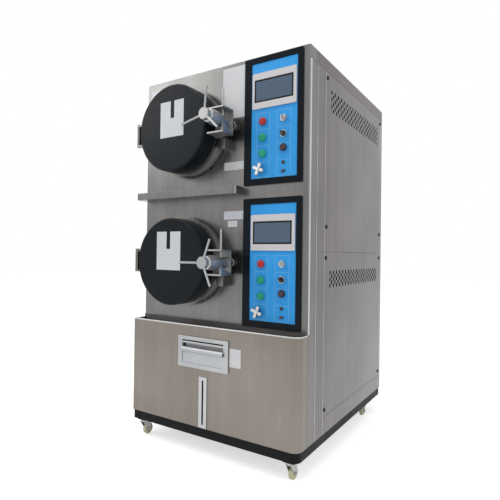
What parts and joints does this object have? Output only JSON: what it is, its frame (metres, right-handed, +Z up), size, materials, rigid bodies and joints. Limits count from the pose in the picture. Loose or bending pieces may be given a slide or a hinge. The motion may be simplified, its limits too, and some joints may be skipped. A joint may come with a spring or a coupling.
{
  "type": "two-deck steam pressure test chamber",
  "caption": "Floor-standing stainless cabinet on casters with stacked round pressure vessels, clamped swing doors, control panels and a water filling drawer.",
  "frame": {"origin": "on the floor, below the centre of the outline", "axes": "+Z up, +X to the right seen from the front, +Y to the back"},
  "size_m": [0.871, 1.2178, 1.672],
  "materials": {
    "stainless": "brushed vertically, satin",
    "polished_steel": "polished",
    "door_black": "semi-gloss black",
    "frame_black": "gloss black",
    "panel_blue": "satin blue",
    "bezel_grey": "fine matt",
    "screen": "dark satin glass",
    "seal": "silicone, matt",
    "base_paint": "dark satin paint",
    "screw_black": "black",
    "cast_aluminium": "satin anodised",
    "button_red": "glossy",
    "button_green": "glossy",
    "switch_black": "black",
    "collar_metal": "satin chrome",
    "port_dark": "dark",
    "zinc": "zinc plated",
    "wheel_nylon": "cream nylon",
    "brass": "nickel-free brass",
    "inner_steel": "satin"
  },
  "bodies": {
    "cabinet": {"plinth": "base_paint", "base_shell": "stainless", "front_panel": "stainless", "right_side": "stainless", "left_side": "stainless", "right_access_upper": "stainless", "right_access_lower": "stainless", "left_access_panels": "stainless", "top_cover": "stainless", "rear_panel": "stainless", "drip_bar": "stainless", "hinge_posts": "stainless", "door_interlocks": "stainless", "level_gauge": "stainless", "panel_screws": "screw_black", "control_frames": "frame_black", "control_plates": "panel_blue", "touch_screens": "bezel_grey", "screen_glasses": "screen", "door_gaskets": "seal", "fill_frame": "cast_aluminium", "button_collars": "collar_metal", "panel_ports": "port_dark", "specimen_racks": "inner_steel", "heating_elements": "inner_steel", "water_tank": "inner_steel", "rear_fittings": "brass", "pressure_vessel_lower": "inner_steel", "pressure_vessel_upper": "inner_steel"},
    "door_lower": {"door_plate_lower": "stainless", "door_cap_lower": "door_black", "clamp_bracket_lower": "polished_steel"},
    "clamp_slide_lower": {"thrust_ring_lower": "polished_steel"},
    "clamp_lower": {"hand_nut_lower": "polished_steel"},
    "button_red_lower": {"button_red_lower": "button_red"},
    "button_green_1_lower": {"button_green_1_lower": "button_green"},
    "button_green_2_lower": {"button_green_2_lower": "button_green"},
    "key_switch_lower": {"key_switch_lower": "collar_metal"},
    "selector_lower": {"selector_lower": "switch_black"},
    "valve_knob_lower": {"valve_knob_lower": "polished_steel"},
    "door_upper": {"door_plate_upper": "stainless", "door_cap_upper": "door_black", "clamp_bracket_upper": "polished_steel"},
    "clamp_slide_upper": {"thrust_ring_upper": "polished_steel"},
    "clamp_upper": {"hand_nut_upper": "polished_steel"},
    "button_red_upper": {"button_red_upper": "button_red"},
    "button_green_1_upper": {"button_green_1_upper": "button_green"},
    "button_green_2_upper": {"button_green_2_upper": "button_green"},
    "key_switch_upper": {"key_switch_upper": "collar_metal"},
    "selector_upper": {"selector_upper": "switch_black"},
    "valve_knob_upper": {"valve_knob_upper": "polished_steel"},
    "fill_drawer": {"fill_drawer": "cast_aluminium"},
    "swivel_front_right": {"caster_fork_front_right": "zinc"},
    "wheel_front_right": {"caster_wheel_front_right": "wheel_nylon"},
    "swivel_front_left": {"caster_fork_front_left": "zinc"},
    "wheel_front_left": {"caster_wheel_front_left": "wheel_nylon"},
    "swivel_rear_right": {"caster_fork_rear_right": "zinc"},
    "wheel_rear_right": {"caster_wheel_rear_right": "wheel_nylon"},
    "swivel_rear_left": {"caster_fork_rear_left": "zinc"},
    "wheel_rear_left": {"caster_wheel_rear_left": "wheel_nylon"}
  },
  "joints": [
    {"name": "door_swing_lower", "type": "hinge", "parent": "cabinet", "child": "door_lower", "pos_m": [-0.4055, -0.4631, 0.823], "axis": [0, 0, -1], "range_deg": [0, 110]},
    {"name": "clamp_advance_lower", "type": "slide", "parent": "door_lower", "child": "clamp_slide_lower", "axis": [0, -1, 0], "range_m": [0, 0.016]},
    {"name": "clamp_turn_lower", "type": "hinge", "parent": "clamp_slide_lower", "child": "clamp_lower", "pos_m": [0.0775, -0.5754, 0.823], "axis": [0, -1, 0], "range_deg": [0, 1440]},
    {"name": "press_red_lower", "type": "slide", "parent": "cabinet", "child": "button_red_lower", "axis": [0, 1, 0], "range_m": [0, 0.003], "stiffness_N_per_m": 300, "springref_m": -0.002},
    {"name": "press_green_1_lower", "type": "slide", "parent": "cabinet", "child": "button_green_1_lower", "axis": [0, 1, 0], "range_m": [0, 0.003], "stiffness_N_per_m": 300, "springref_m": -0.002},
    {"name": "press_green_2_lower", "type": "slide", "parent": "cabinet", "child": "button_green_2_lower", "axis": [0, 1, 0], "range_m": [0, 0.003], "stiffness_N_per_m": 300, "springref_m": -0.002},
    {"name": "key_switch_turn_lower", "type": "hinge", "parent": "cabinet", "child": "key_switch_lower", "pos_m": [0.3215, -0.3871, 0.821], "axis": [0, 1, 0], "range_deg": [0, 90]},
    {"name": "selector_turn_lower", "type": "hinge", "parent": "cabinet", "child": "selector_lower", "pos_m": [0.3215, -0.3871, 0.759], "axis": [0, 1, 0], "range_deg": [0, 90]},
    {"name": "valve_knob_turn_lower", "type": "hinge", "parent": "cabinet", "child": "valve_knob_lower", "pos_m": [0.2145, -0.3871, 0.625], "axis": [0, -1, 0], "range_deg": [0, 1080]},
    {"name": "door_swing_upper", "type": "hinge", "parent": "cabinet", "child": "door_upper", "pos_m": [-0.4055, -0.4631, 1.403], "axis": [0, 0, -1], "range_deg": [0, 110]},
    {"name": "clamp_advance_upper", "type": "slide", "parent": "door_upper", "child": "clamp_slide_upper", "axis": [0, -1, 0], "range_m": [0, 0.016]},
    {"name": "clamp_turn_upper", "type": "hinge", "parent": "clamp_slide_upper", "child": "clamp_upper", "pos_m": [0.0775, -0.5754, 1.403], "axis": [0, -1, 0], "range_deg": [0, 1440]},
    {"name": "press_red_upper", "type": "slide", "parent": "cabinet", "child": "button_red_upper", "axis": [0, 1, 0], "range_m": [0, 0.003], "stiffness_N_per_m": 300, "springref_m": -0.002},
    {"name": "press_green_1_upper", "type": "slide", "parent": "cabinet", "child": "button_green_1_upper", "axis": [0, 1, 0], "range_m": [0, 0.003], "stiffness_N_per_m": 300, "springref_m": -0.002},
    {"name": "press_green_2_upper", "type": "slide", "parent": "cabinet", "child": "button_green_2_upper", "axis": [0, 1, 0], "range_m": [0, 0.003], "stiffness_N_per_m": 300, "springref_m": -0.002},
    {"name": "key_switch_turn_upper", "type": "hinge", "parent": "cabinet", "child": "key_switch_upper", "pos_m": [0.3215, -0.3871, 1.401], "axis": [0, 1, 0], "range_deg": [0, 90]},
    {"name": "selector_turn_upper", "type": "hinge", "parent": "cabinet", "child": "selector_upper", "pos_m": [0.3215, -0.3871, 1.339], "axis": [0, 1, 0], "range_deg": [0, 90]},
    {"name": "valve_knob_turn_upper", "type": "hinge", "parent": "cabinet", "child": "valve_knob_upper", "pos_m": [0.2145, -0.3871, 1.205], "axis": [0, -1, 0], "range_deg": [0, 1080]},
    {"name": "drawer_slide", "type": "slide", "parent": "cabinet", "child": "fill_drawer", "axis": [0, -1, 0], "range_m": [0, 0.09]},
    {"name": "swivel_turn_front_right", "type": "hinge", "parent": "cabinet", "child": "swivel_front_right", "pos_m": [0.3865, -0.4171, 0.076], "axis": [0, 0, 1], "continuous": true},
    {"name": "wheel_roll_front_right", "type": "hinge", "parent": "swivel_front_right", "child": "wheel_front_right", "pos_m": [0.3865, -0.3991, 0.025], "axis": [1, 0, 0], "continuous": true},
    {"name": "swivel_turn_front_left", "type": "hinge", "parent": "cabinet", "child": "swivel_front_left", "pos_m": [-0.3865, -0.4171, 0.076], "axis": [0, 0, 1], "continuous": true},
    {"name": "wheel_roll_front_left", "type": "hinge", "parent": "swivel_front_left", "child": "wheel_front_left", "pos_m": [-0.3865, -0.3991, 0.025], "axis": [1, 0, 0], "continuous": true},
    {"name": "swivel_turn_rear_right", "type": "hinge", "parent": "cabinet", "child": "swivel_rear_right", "pos_m": [0.3865, 0.4389, 0.076], "axis": [0, 0, 1], "continuous": true},
    {"name": "wheel_roll_rear_right", "type": "hinge", "parent": "swivel_rear_right", "child": "wheel_rear_right", "pos_m": [0.3865, 0.4209, 0.025], "axis": [1, 0, 0], "continuous": true},
    {"name": "swivel_turn_rear_left", "type": "hinge", "parent": "cabinet", "child": "swivel_rear_left", "pos_m": [-0.3865, 0.4389, 0.076], "axis": [0, 0, 1], "continuous": true},
    {"name": "wheel_roll_rear_left", "type": "hinge", "parent": "swivel_rear_left", "child": "wheel_rear_left", "pos_m": [-0.3865, 0.4209, 0.025], "axis": [1, 0, 0], "continuous": true}
  ],
  "couplings": [
    {"joint": "clamp_advance_lower", "follows": "clamp_turn_lower", "m_per_rad": 0.0006366},
    {"joint": "clamp_advance_upper", "follows": "clamp_turn_upper", "m_per_rad": 0.0006366}
  ]
}
